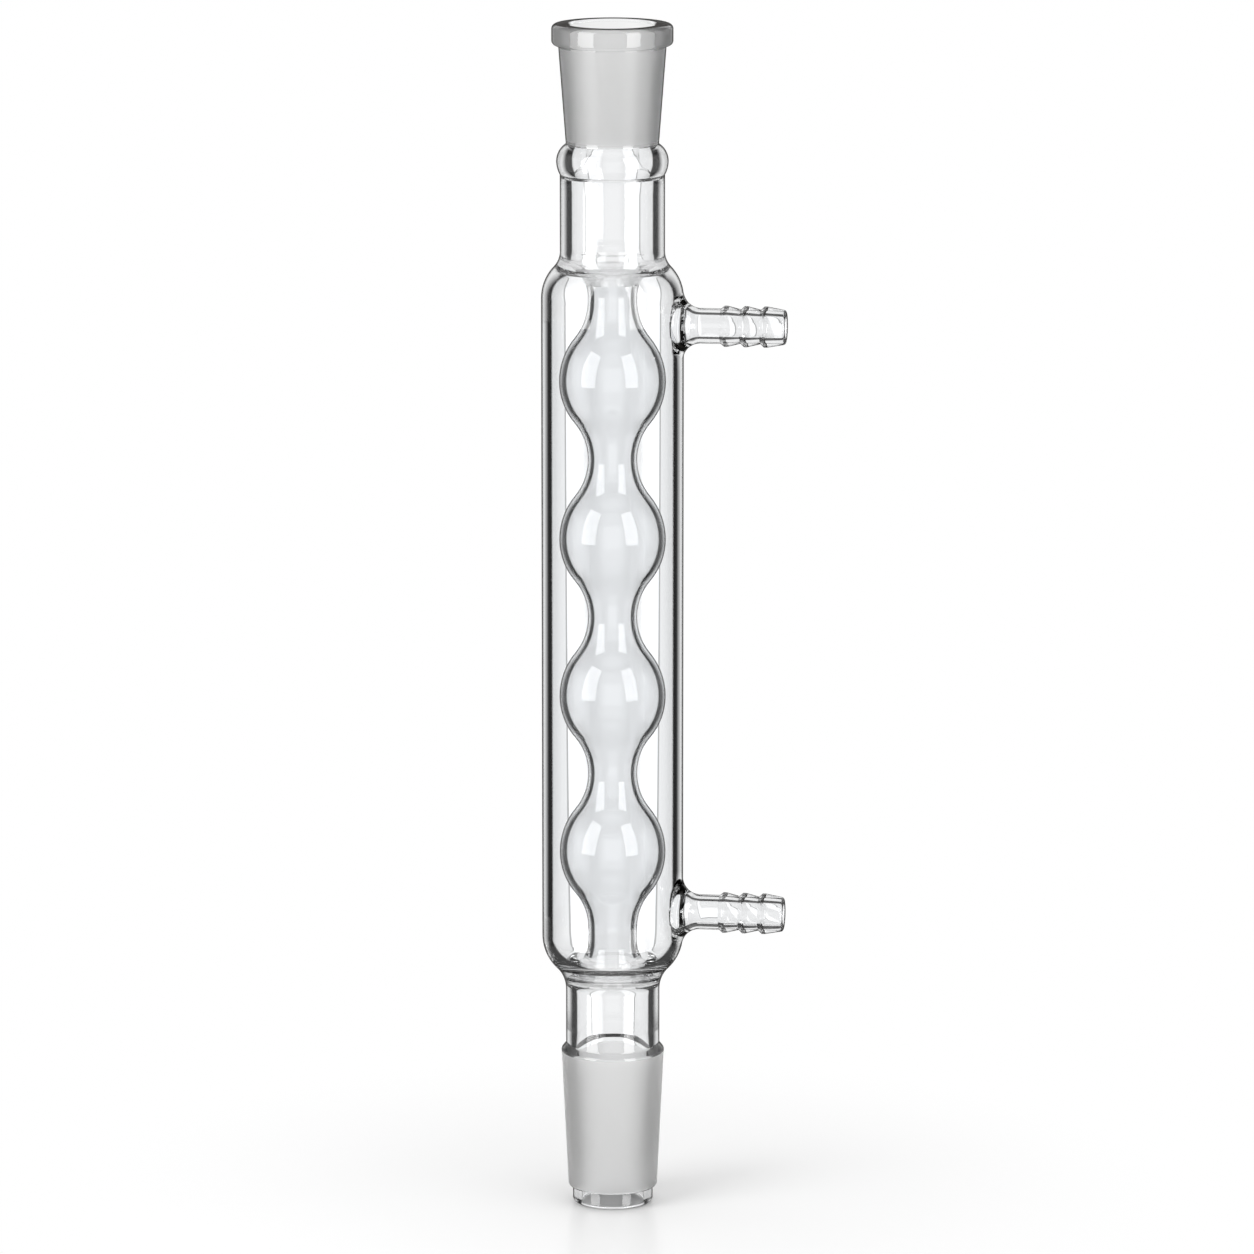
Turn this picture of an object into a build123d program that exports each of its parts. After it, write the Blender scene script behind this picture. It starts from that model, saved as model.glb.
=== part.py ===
from build123d import *
import math
import os

# Reflux condenser with a bulbed vapour tube, blown from borosilicate glass.
# Millimetres. The drip rim stands on z = 0, the glass axis is +Z and both hose arms point to +X.

# Drip rim and ground cone at the foot
drip_step = 1.2
drip_wall = 2.5
drip_rim_height = 4.6
foot_round = 1.2
foot_inner_round = 0.8
cone_large_od = 29.2
cone_length = 40.3
joint_taper = 0.1  # diameter lost per millimetre of length, the 1 in 10 of standard ground joints
cone_lower_round = 1.0
cone_shoulder_height = 1.6
cone_shoulder_round = 0.9
cone_bore = 22.6

# Lower neck, between the cone and the jacket
lower_neck_od = 26.6
lower_neck_bore = 20.8
lower_neck_length = 15.8
lower_neck_hollow = 9.5

# Water jacket
jacket_od = 40.0
jacket_wall = 2.55
jacket_length = 183.0
dome_centre = 7.5
inner_dome_centre = 8.65

# Upper neck, between the jacket and the socket
upper_neck_od = 29.4
upper_neck_bore = 23.2
upper_neck_length = 21.6
upper_neck_hollow = 6.5

# Bead that joins the neck to the socket
bead_od = 31.4
bead_height = 8.6
bead_crown_drop = 4.8
bead_lip_bore = 21.7
bead_lip_height = 1.1
bead_inner_od = 23.7

# Ground socket and its rim collar
socket_bore = 24.0
socket_wall = 3.1
socket_draw = 4.2
socket_length = 27.6
mouth_bevel = 0.6
collar_overhang = 1.9
collar_height = 6.0
collar_round = 1.4

# Bulbed vapour tube inside the jacket
tube_od = 13.8
tube_wall = 1.65
bulb_clearance = 2.45
bulb_arc = 18.7
bulb_count = 4
lower_run = 2.2
upper_run = 0.8

# Ring seals that close the jacket round the vapour tube
seal_trumpet_od = 18.2
seal_flare_start = 1.0
seal_roof_tilt = 63.86
seal_bore_arc = 9.25
seal_floor_slope = 25.0
seal_pocket_bore = 25.2
seal_pocket_height = 3.3
lower_groove_radius = 9.6
lower_groove_drop = 10.0
lower_ledge_radius = 12.1
lower_ledge_drop = 8.15
lower_lip_bore = 15.8
lower_lip_drop = 11.2
lower_pocket_bore = 23.2
lower_pocket_drop = 12.5
lower_pocket_height = 2.5
groove_round = 0.5

# Hose arms
arm_inset_share = 0.185  # of the jacket's diameter, from its straight end to the arm's axis
arm_od = 9.9
arm_bore = 6.3
arm_reach = 49.0
arm_root_round = 5.0
arm_tip_round = 0.8
port_mouth = 12.8
port_blend = 5.5
port_slope = 27.0
barb_od = 11.5
barb_tip_od = 9.6
barb_count = 3
barb_pitch = 5.6
barb_start = 30.7
barb_rise = 1.0
barb_land = 0.8

# Sizes that follow from the ones above
cone_small_od = cone_large_od - cone_length * joint_taper
drip_rim_od = cone_small_od - 2 * drip_step
drip_bore = drip_rim_od - 2 * drip_wall
socket_large_od = socket_bore + 2 * socket_wall
socket_small_od = socket_large_od - socket_draw
collar_od = socket_large_od + 2 * collar_overhang
jacket_inner_radius = jacket_od / 2 - jacket_wall
jacket_dome = jacket_od / 2 - dome_centre
jacket_inner_dome = jacket_inner_radius - inner_dome_centre
arm_inset = arm_inset_share * jacket_od
bulb_od = 2 * (jacket_inner_radius - bulb_clearance)
bulb_pitch = (jacket_length - lower_run - upper_run) / bulb_count

# Stations along the axis
cone_top = drip_rim_height + cone_length
lower_neck_start = cone_top + cone_shoulder_height
lower_neck_end = lower_neck_start + lower_neck_length


def shoulder(neck_radius, hollow):
    """Height of the S-curve from neck to jacket, and where its two arcs meet, from the jacket's end."""
    reach = neck_radius + hollow - (jacket_od / 2 - jacket_dome)
    rise = math.sqrt((jacket_dome + hollow) ** 2 - reach**2)
    share = jacket_dome / (jacket_dome + hollow)
    return rise, jacket_od / 2 - jacket_dome + reach * share, rise * share


lower_rise, lower_joint_radius, lower_joint_rise = shoulder(lower_neck_od / 2, lower_neck_hollow)
upper_rise, upper_joint_radius, upper_joint_rise = shoulder(upper_neck_od / 2, upper_neck_hollow)
jacket_start = lower_neck_end + lower_rise
jacket_end = jacket_start + jacket_length
upper_neck_start = jacket_end + upper_rise
upper_neck_end = upper_neck_start + upper_neck_length
socket_start = upper_neck_end + bead_height
collar_start = socket_start + socket_length
total_height = collar_start + collar_height
low_waist = jacket_start + lower_run
high_waist = jacket_end - upper_run
UP = (0, 1)
DOWN = (0, -1)


def chain(points):
    """Straight edges through the points in turn."""
    return [Line(a, b) for a, b in zip(points, points[1:])]


def rounded(sketch, point, radius):
    """The sketch with its corner at the point rounded."""
    corner = sketch.vertices().sort_by_distance((point[0], point[1], 0))[0]
    return fillet(corner, radius)


def outside():
    """Half section of the solid that the outer surface encloses."""
    foot = drip_rim_od / 2
    cone = cone_large_od / 2
    cone_foot = cone_small_od / 2
    low_neck = lower_neck_od / 2
    jacket = jacket_od / 2
    high_neck = upper_neck_od / 2
    bead = bead_od / 2
    bead_crown = socket_start - bead_crown_drop
    collar = collar_od / 2
    low_joint = (lower_joint_radius, jacket_start - lower_joint_rise)
    high_joint = (upper_joint_radius, jacket_end + upper_joint_rise)
    base = [(0, 0), (foot, 0), (foot, drip_rim_height), (cone_foot, drip_rim_height), (cone, cone_top)]
    edges = chain(base + [(low_neck, lower_neck_start), (low_neck, lower_neck_end)])
    edges += [
        TangentArc((low_neck, lower_neck_end), low_joint, tangent=UP),
        TangentArc((jacket, jacket_start), low_joint, tangent=DOWN),
        Line((jacket, jacket_start), (jacket, jacket_end)),
        TangentArc((jacket, jacket_end), high_joint, tangent=UP),
        TangentArc((high_neck, upper_neck_start), high_joint, tangent=DOWN),
        Line((high_neck, upper_neck_start), (high_neck, upper_neck_end)),
        TangentArc((bead, bead_crown), (high_neck, upper_neck_end), tangent=DOWN),
        TangentArc((bead, bead_crown), (socket_small_od / 2, socket_start), tangent=UP),
    ]
    socket = [(socket_small_od / 2, socket_start), (socket_large_od / 2, collar_start)]
    rim = [(collar, collar_start), (collar, total_height), (0, total_height), (0, 0)]
    edges += chain(socket + rim)
    section = make_face(edges)
    section = rounded(section, (foot, 0), foot_round)
    section = rounded(section, (cone_foot, drip_rim_height), cone_lower_round)
    section = rounded(section, (cone, cone_top), cone_shoulder_round)
    section = rounded(section, (low_neck, lower_neck_start), cone_shoulder_round)
    section = rounded(section, (collar, collar_start), collar_round)
    section = rounded(section, (collar, total_height), collar_round)
    return section


def bulb_wall(inset):
    """Edges of the bulbed tube from its lowest waist to its highest, set in from its outer surface."""
    crown = bulb_od / 2
    waist = tube_od / 2
    half = bulb_pitch / 2
    centre = crown - bulb_arc
    gap = waist - centre
    waist_arc = (gap**2 + half**2 - bulb_arc**2) / (2 * (bulb_arc - gap))
    lean = math.atan2(half, waist + waist_arc - centre)
    joint_radius = centre + (bulb_arc - inset) * math.cos(lean)
    joint_rise = (bulb_arc - inset) * math.sin(lean)
    first = low_waist + half
    edges = [TangentArc((waist - inset, low_waist), (joint_radius, first - joint_rise), tangent=UP)]
    for index in range(bulb_count):
        middle = first + index * bulb_pitch
        low = (joint_radius, middle - joint_rise)
        high = (joint_radius, middle + joint_rise)
        edges.append(ThreePointArc(low, (crown - inset, middle), high))
        if index < bulb_count - 1:
            next_low = (joint_radius, low[1] + bulb_pitch)
            edges.append(ThreePointArc(high, (waist - inset, middle + half), next_low))
    edges.append(TangentArc((waist - inset, high_waist), high, tangent=DOWN))
    return edges


def vapour_way():
    """Half section of the open way from the drip rim through the bulbs to the socket mouth."""
    tube = tube_od / 2 - tube_wall
    low_neck = lower_neck_bore / 2
    high_neck = upper_neck_bore / 2
    low_flare = jacket_start - seal_flare_start
    high_flare = jacket_end + seal_flare_start
    pocket_top = jacket_start - lower_pocket_drop
    pocket_start = (low_neck, pocket_top - lower_pocket_height)
    cone_bore_top = lower_neck_start - lower_pocket_height
    lip = (lower_lip_bore / 2, jacket_start - lower_lip_drop)
    foot_edge = (drip_bore / 2 + foot_inner_round, 0)
    edges = [TangentArc((drip_bore / 2, foot_inner_round), foot_edge, tangent=DOWN)]
    edges += chain([foot_edge, (0, 0)])
    edges += chain([
        (drip_bore / 2, foot_inner_round),
        (drip_bore / 2, drip_rim_height),
        (cone_bore / 2, cone_bore_top),
        (low_neck, lower_neck_start),
        pocket_start,
    ])
    edges += [
        TangentArc(pocket_start, (lower_pocket_bore / 2, pocket_top), tangent=UP),
        Line((lower_pocket_bore / 2, pocket_top), lip),
        TangentArc((tube, low_flare), lip, tangent=DOWN),
        Line((tube, low_flare), (tube, low_waist)),
    ]
    edges += bulb_wall(tube_wall)
    turn = math.radians(90 - seal_floor_slope)
    floor = (tube + seal_bore_arc * (1 - math.cos(turn)), high_flare + seal_bore_arc * math.sin(turn))
    pocket = seal_pocket_bore / 2
    pocket_foot = floor[1] + (pocket - floor[0]) * math.tan(math.radians(seal_floor_slope))
    pocket_end = pocket_foot + seal_pocket_height
    bead_foot = upper_neck_end - bead_lip_height / 2
    bead_lip = (bead_lip_bore / 2, bead_foot + bead_lip_height)
    bead_crown = (bead_inner_od / 2, socket_start - bead_crown_drop)
    mouth = socket_bore / 2
    bore_length = total_height - mouth_bevel - socket_start
    bore_foot = (mouth - bore_length * joint_taper / 2, socket_start)
    edges += [
        Line((tube, high_waist), (tube, high_flare)),
        TangentArc((tube, high_flare), floor, tangent=UP),
        Line(floor, (pocket, pocket_foot)),
        TangentArc((high_neck, pocket_end), (pocket, pocket_foot), tangent=DOWN),
        Line((high_neck, pocket_end), (high_neck, bead_foot)),
        Line((high_neck, bead_foot), bead_lip),
        ThreePointArc(bead_lip, bead_crown, bore_foot),
    ]
    bevel = [(mouth, total_height - mouth_bevel), (mouth + mouth_bevel, total_height)]
    edges += chain([bore_foot] + bevel + [(0, total_height), (0, 0)])
    return make_face(edges)


def water_space():
    """Half section of the closed ring between the jacket and the bulbed tube."""
    tube = tube_od / 2
    wall = jacket_inner_radius
    low_flare = jacket_start - seal_flare_start
    high_flare = jacket_end + seal_flare_start
    tilt = math.radians(seal_roof_tilt)
    roof = jacket_end + jacket_inner_dome * math.sin(tilt)
    roof_edge = (inner_dome_centre + jacket_inner_dome * math.cos(tilt), roof)
    trumpet = (seal_trumpet_od / 2, roof)
    ledge = (lower_ledge_radius, jacket_start - lower_ledge_drop)
    groove = (lower_groove_radius, jacket_start - lower_groove_drop)
    edges = [
        TangentArc((wall, jacket_start), ledge, tangent=DOWN),
        Line(ledge, groove),
        TangentArc((tube, low_flare), groove, tangent=DOWN),
        Line((tube, low_flare), (tube, low_waist)),
    ]
    edges += bulb_wall(0)
    edges += [
        Line((tube, high_waist), (tube, high_flare)),
        TangentArc((tube, high_flare), trumpet, tangent=UP),
        Line(trumpet, roof_edge),
        TangentArc((wall, jacket_end), roof_edge, tangent=UP),
        Line((wall, jacket_end), (wall, jacket_start)),
    ]
    section = rounded(make_face(edges), groove, groove_round)
    return rounded(section, trumpet, groove_round)


def turned(section):
    """A half section turned full circle about the glass axis."""
    return revolve(Plane.XZ * section, Axis.Z)


def arm_outline():
    """Half outline of one hose arm, lying along X, from inside the jacket wall to its tip."""
    tube = arm_od / 2
    crest = barb_od / 2
    tip = barb_tip_od / 2
    root = jacket_od / 2 - jacket_wall / 2
    points = [(root, 0), (root, tube), (barb_start, tube)]
    for index in range(barb_count):
        start = barb_start + index * barb_pitch
        points += [(start + barb_rise, crest), (start + barb_rise + barb_land, crest)]
        last = index == barb_count - 1
        points.append((arm_reach, tip) if last else (start + barb_pitch, tip))
    points += [(arm_reach, 0), (root, 0)]
    section = make_face(chain(points))
    return rounded(section, (arm_reach, tip), arm_tip_round)


def port_outline():
    """Half outline of the bore of one hose arm, with its funnel into the water space."""
    bore = arm_bore / 2
    mouth = port_mouth / 2
    wall = jacket_inner_radius
    slope = math.radians(port_slope)
    blend_rise = port_blend * (1 - math.cos(slope))
    cone_reach = (mouth - bore - blend_rise) / math.tan(slope)
    cone_end = (wall + cone_reach, bore + blend_rise)
    blend_end = (wall + cone_reach + port_blend * math.sin(slope), bore)
    start = wall - jacket_wall
    edges = chain([(start, 0), (start, mouth), (wall, mouth), cone_end])
    edges.append(TangentArc(blend_end, cone_end, tangent=(-1, 0)))
    edges += chain([blend_end, (arm_reach, bore), (arm_reach, 0), (start, 0)])
    return make_face(edges)


def arm_heights():
    """Heights of the lower and the upper hose arm."""
    return jacket_start + arm_inset, jacket_end - arm_inset


def along_x(section, height):
    """A half outline turned about the line parallel to X at the height."""
    return Pos(0, 0, height) * revolve(section, Axis.X)


def arm_root(glass, height):
    """The edge where the arm at the height meets the jacket."""
    seams = glass.edges().filter_by(lambda edge: edge.geom_type not in (GeomType.LINE, GeomType.CIRCLE))
    return seams.sort_by_distance((jacket_od / 2, 0, height))[:1]


def condenser():
    """The whole condenser, one piece of glass."""
    glass = turned(outside())
    for height in arm_heights():
        glass += along_x(arm_outline(), height)
        glass = fillet(arm_root(glass, height), arm_root_round)
    glass -= turned(vapour_way())
    glass -= turned(water_space())
    for height in arm_heights():
        glass -= along_x(port_outline(), height)
    return glass


os.makedirs("parts", exist_ok=True)
export_step(condenser(), "parts/condenser_glass.step")
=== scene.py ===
"""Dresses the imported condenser: one piece of blown glass on a pale studio floor."""

import math

import bmesh
import bpy
from mathutils import Matrix, Vector


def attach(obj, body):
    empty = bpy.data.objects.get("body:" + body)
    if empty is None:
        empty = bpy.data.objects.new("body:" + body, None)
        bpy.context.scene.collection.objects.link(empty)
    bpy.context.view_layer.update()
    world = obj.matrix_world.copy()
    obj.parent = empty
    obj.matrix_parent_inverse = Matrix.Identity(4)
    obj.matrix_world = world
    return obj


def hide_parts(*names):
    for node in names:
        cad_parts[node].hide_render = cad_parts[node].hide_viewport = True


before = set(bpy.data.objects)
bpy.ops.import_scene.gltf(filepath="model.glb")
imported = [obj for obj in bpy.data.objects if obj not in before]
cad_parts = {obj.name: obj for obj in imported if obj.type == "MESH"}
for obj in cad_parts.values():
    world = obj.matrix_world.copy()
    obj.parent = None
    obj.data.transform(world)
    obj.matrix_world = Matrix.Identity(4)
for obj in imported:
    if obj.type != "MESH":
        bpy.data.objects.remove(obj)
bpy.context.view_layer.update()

bl_info = {
    "name": "Bulbed Condenser",
    "version": (1, 0, 0),
    "blender": (4, 5, 0),
    "location": "View3D > Sidebar > Condenser",
    "description": "Blows the glass of a bulbed reflux condenser and lays its studio stage",
    "category": "Object",
}

IMAGE_SIDE = 1254
SENSOR = 36.0
TURN = 2 * math.pi
BODY = "root"
NODE = "condenser_glass"
LEAST_STEPS = 3
TOUCHING = 1e-7
WELD = 2e-6
NO_WIDTH = 1e-6
NEAREST, FURTHEST = 0.01, 50
GLASS_BOUNCES, CLEAR_BOUNCES = 64, 48


def millimetres(name, size, description):
    """A length property whose default is given in millimetres."""
    return bpy.props.FloatProperty(
        name=name, description=description, default=size / 1000, unit="LENGTH", precision=5
    )


def share(name, amount, description):
    """A property between nought and one."""
    return bpy.props.FloatProperty(
        name=name, description=description, default=amount, min=0.0, max=1.0, subtype="FACTOR"
    )


def plain(name, amount, description):
    """A property without a unit."""
    return bpy.props.FloatProperty(name=name, description=description, default=amount)


def tint(name, colour, description):
    """A colour property."""
    return bpy.props.FloatVectorProperty(
        name=name, description=description, default=colour, size=3, min=0.0, max=1.0, subtype="COLOR"
    )


def degrees(name, angle, description):
    """An angle property whose default is given in degrees."""
    return bpy.props.FloatProperty(
        name=name, description=description, default=math.radians(angle), unit="ROTATION"
    )


class FootSizes(bpy.types.PropertyGroup):
    """The drip rim, the ground cone and the lower neck."""

    drip_rim: millimetres("Drip Rim", 22.77, "Outer diameter of the drip rim")
    drip_height: millimetres("Drip Height", 4.6, "Height of the drip rim")
    drip_bore: millimetres("Drip Bore", 17.77, "Bore of the drip rim")
    foot_round: millimetres("Foot Round", 1.2, "Rounding outside under the drip rim")
    foot_inner_round: millimetres("Foot Inner Round", 0.8, "Rounding inside under the drip rim")
    cone_small: millimetres("Cone Small End", 25.17, "Diameter of the ground cone at its foot")
    cone_large: millimetres("Cone Large End", 29.2, "Diameter of the ground cone at its top")
    cone_length: millimetres("Cone Length", 40.3, "Length of the ground cone")
    cone_lower_round: millimetres("Cone Lower Round", 1.0, "Rounding at the foot of the cone")
    cone_shoulder: millimetres("Cone Shoulder", 1.6, "Height of the shoulder over the cone")
    shoulder_round: millimetres("Shoulder Round", 0.9, "Rounding of the cone's shoulder")
    cone_bore: millimetres("Cone Bore", 22.6, "Bore at the top of the cone")
    neck: millimetres("Lower Neck", 26.6, "Outer diameter of the lower neck")
    neck_bore: millimetres("Lower Neck Bore", 20.8, "Bore of the lower neck")
    neck_length: millimetres("Lower Neck Length", 15.8, "Length of the lower neck")
    neck_hollow: millimetres("Lower Neck Hollow", 9.5, "Radius of the hollow over the lower neck")


class JacketSizes(bpy.types.PropertyGroup):
    """The water jacket."""

    outer: millimetres("Jacket", 40.0, "Outer diameter of the jacket")
    wall: millimetres("Jacket Wall", 2.55, "Thickness of the jacket's wall")
    length: millimetres("Jacket Length", 183.0, "Length of the straight jacket")
    dome_centre: millimetres("Dome Centre", 7.5, "Distance of the dome's centre from the axis")
    inner_dome_centre: millimetres("Inner Dome Centre", 8.65, "The same, of the dome's inner side")


class HeadSizes(bpy.types.PropertyGroup):
    """The upper neck, the bead and the ground socket."""

    neck: millimetres("Upper Neck", 29.4, "Outer diameter of the upper neck")
    neck_bore: millimetres("Upper Neck Bore", 23.2, "Bore of the upper neck")
    neck_length: millimetres("Upper Neck Length", 21.6, "Length of the upper neck")
    neck_hollow: millimetres("Upper Neck Hollow", 6.5, "Radius of the hollow under the upper neck")
    bead: millimetres("Bead", 31.4, "Outer diameter of the bead")
    bead_height: millimetres("Bead Height", 8.6, "Height of the bead")
    bead_crown: millimetres("Bead Crown", 4.8, "Drop from the socket to the bead's widest level")
    bead_lip: millimetres("Bead Lip", 21.7, "Bore of the lip under the bead")
    bead_lip_height: millimetres("Bead Lip Height", 1.1, "Height of that lip")
    bead_inner: millimetres("Bead Inside", 23.7, "Inner diameter of the bead")
    socket_small: millimetres("Socket Small End", 26.0, "Outer diameter at the socket's foot")
    socket_large: millimetres("Socket Large End", 30.2, "Outer diameter under the collar")
    socket_length: millimetres("Socket Length", 27.6, "Length from the bead to the collar")
    socket_bore: millimetres("Socket Bore", 24.0, "Ground bore at the mouth")
    taper: share("Joint Taper", 0.1, "Diameter lost per length in a ground joint")
    bevel: millimetres("Mouth Bevel", 0.6, "Bevel of the mouth")
    collar: millimetres("Collar", 34.0, "Outer diameter of the collar")
    collar_height: millimetres("Collar Height", 6.0, "Height of the collar")
    collar_round: millimetres("Collar Round", 1.4, "Rounding of the collar")


class TubeSizes(bpy.types.PropertyGroup):
    """The bulbed vapour tube and its ring seals."""

    outer: millimetres("Tube", 13.8, "Outer diameter of the tube at its waists")
    wall: millimetres("Tube Wall", 1.65, "Thickness of the tube's wall")
    clearance: millimetres("Bulb Clearance", 2.45, "Gap between a bulb and the jacket")
    bulb_arc: millimetres("Bulb Arc", 18.7, "Radius of a bulb's outline")
    bulbs: bpy.props.IntProperty(name="Bulbs", description="Number of bulbs", default=4, min=1)
    lower_run: millimetres("Lower Run", 2.2, "From the jacket's start to the lowest waist")
    upper_run: millimetres("Upper Run", 0.8, "From the highest waist to the jacket's end")
    flare_start: millimetres("Flare Start", 1.0, "From the jacket's ends to the ring seals' flares")
    trumpet: millimetres("Trumpet", 18.2, "Outer diameter of the upper flare at its roof")
    roof_tilt: degrees("Roof Tilt", 63.86, "Where the upper dome meets the roof of the water space")
    upper_arc: millimetres("Upper Arc", 9.25, "Radius of the upper flare's inner side")
    floor_slope: degrees("Floor Slope", 25.0, "Slope of the floor over the upper ring seal")
    upper_pocket: millimetres("Upper Pocket", 25.2, "Bore of the pocket over the upper ring seal")
    upper_pocket_height: millimetres("Upper Pocket Height", 3.3, "Height of that pocket")
    groove: millimetres("Groove", 9.6, "Radius of the groove round the lower flare")
    groove_drop: millimetres("Groove Drop", 10.0, "Drop of that groove under the jacket's start")
    ledge: millimetres("Ledge", 12.1, "Radius of the ledge round the groove")
    ledge_drop: millimetres("Ledge Drop", 8.15, "Drop of that ledge")
    lip: millimetres("Lip", 15.8, "Bore of the lower flare's lip")
    lip_drop: millimetres("Lip Drop", 11.2, "Drop of that lip")
    lower_pocket: millimetres("Lower Pocket", 23.2, "Bore of the pocket round the lip")
    lower_pocket_drop: millimetres("Lower Pocket Drop", 12.5, "Drop of that pocket")
    lower_pocket_height: millimetres("Lower Pocket Height", 2.5, "Height of that pocket")
    groove_round: millimetres("Groove Round", 0.5, "Rounding of the grooves")


class ArmSizes(bpy.types.PropertyGroup):
    """The two barbed hose arms."""

    inset: millimetres("Arm Inset", 7.4, "From the jacket's straight end to the arm's axis")
    outer: millimetres("Arm", 9.9, "Outer diameter of an arm")
    bore: millimetres("Arm Bore", 6.3, "Bore of an arm")
    reach: millimetres("Arm Reach", 49.0, "From the glass axis to the arm's tip")
    root_round: millimetres("Arm Root", 5.0, "Radius of the flare where the arm meets the jacket")
    sink: millimetres("Arm Sink", 0.05, "How far that flare runs into the jacket")
    tip_round: millimetres("Tip Round", 0.8, "Rounding of the tip")
    mouth: millimetres("Port Mouth", 12.8, "Width of the port in the jacket's wall")
    blend: millimetres("Port Blend", 5.5, "Radius between the port's funnel and the bore")
    slope: degrees("Port Slope", 27.0, "Slope of the port's funnel")
    barb: millimetres("Barb", 11.5, "Diameter of a barb's crest")
    barb_tip: millimetres("Barb Foot", 9.6, "Diameter between the barbs and at the tip")
    barbs: bpy.props.IntProperty(name="Barbs", description="Barbs on an arm", default=3, min=1)
    barb_pitch: millimetres("Barb Pitch", 5.6, "Distance between barbs")
    barb_start: millimetres("Barb Start", 30.7, "From the glass axis to the first barb")
    barb_rise: millimetres("Barb Rise", 1.0, "Length of a barb's steep side")
    barb_land: millimetres("Barb Land", 0.8, "Length of a barb's crest")


class MeshSizes(bpy.types.PropertyGroup):
    """How finely the glass is divided."""

    sides: bpy.props.IntProperty(name="Sides", description="Faces round the glass", default=120)
    arm_sides: bpy.props.IntProperty(name="Arm Sides", description="Faces round an arm", default=72)
    arc_step: degrees("Arc Step", 5.0, "Largest turn between two points of an outline")
    line_step: millimetres("Line Step", 5.0, "Largest distance between two points of an outline")
    crease: degrees("Crease", 28.0, "Edges that turn more than this stay sharp")


class GlassFinish(bpy.types.PropertyGroup):
    """The clear and the ground glass, and the painted shade of their dark edge lines."""

    clear: tint("Clear Glass", (0.985, 0.99, 0.995), "What clear glass lets through")
    frosted: tint("Ground Glass", (0.84, 0.84, 0.835), "What ground glass sends back and lets through")
    ior: plain("Index", 1.473, "Index of refraction")
    frost_roughness: share("Frost Roughness", 0.6, "Roughness of ground glass")
    frost_clearness: share("Frost Clearness", 0.8, "Share of the light that ground glass lets through")
    seal_reach: millimetres("Seal Reach", 12.9, "Radius of the ring seals, which have no edge lines")
    seal_sheer: share("Seal Sheer", 0.75, "Share of light that passes straight through a ring seal's faces")
    lower_seal_from: millimetres("Lower Seal From", 65.0, "Lowest level of the lower ring seal")
    lower_seal_to: millimetres("Lower Seal To", 71.0, "Highest level of the lower ring seal")
    upper_seal_from: millimetres("Upper Seal From", 265.5, "Lowest level of the upper ring seal")
    upper_seal_to: millimetres("Upper Seal To", 272.5, "Highest level of the upper ring seal")
    satin: share("Satin", 0.35, "Roughness of the socket's outer face")
    jacket_gloss: share("Jacket Gloss", 0.15, "Share of the mirror gloss left on the straight jacket")
    # Painted shade: a dark colour mixed over faces seen at a slant stands in for the dark edge lines that
    # glass walls show.
    painted_edge_from: share("Edge From", 0.72, "Slant of a face at which its dark edge line begins")
    painted_edge_to: share("Edge To", 0.86, "Slant at which the edge line is full")
    painted_edge_depth: share("Edge Depth", 0.92, "Share of the face that the full edge line covers")
    painted_edge_shade: tint("Edge Tint", (0.02, 0.018, 0.016), "Colour of the edge line")
    shade: share("Shade", 0.985, "Light that one clear face lets through to the floor")
    frost_shade: share("Frost Shade", 0.4, "The same for ground glass")
    jacket_from: millimetres("Jacket From", 84.0, "Where the jacket's even face begins")
    jacket_to: millimetres("Jacket To", 255.0, "Where the jacket's even face ends")
    jacket_face: millimetres("Jacket Face", 19.5, "Radius that only the jacket's outer face exceeds")
    arm_clear: millimetres("Arm Clear", 20.4, "Radius that only the hose arms exceed")
    cone_frost_foot: millimetres("Cone Frost Foot", 5.1, "Lowest level of the ground cone")
    cone_frost_top: millimetres("Cone Frost Top", 44.35, "Highest level of the ground cone")
    socket_frost_foot: millimetres("Socket Frost Foot", 304.6, "Lowest level of the ground socket")
    socket_frost_top: millimetres("Socket Frost Top", 337.4, "Highest level of the ground socket")
    satin_foot: millimetres("Satin Foot", 305.5, "Lowest level of the satin face of the socket")
    satin_top: millimetres("Satin Top", 331.6, "Highest level of the satin face of the socket")
    cone_wall: millimetres("Cone Wall", 11.9, "Radius between the cone's bore and its ground face")
    socket_wall: millimetres("Socket Wall", 12.5, "Radius between the ground bore and the socket's outside")
    blur: millimetres("Blur", 0.25, "Width over which clear glass turns into ground glass")


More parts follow.
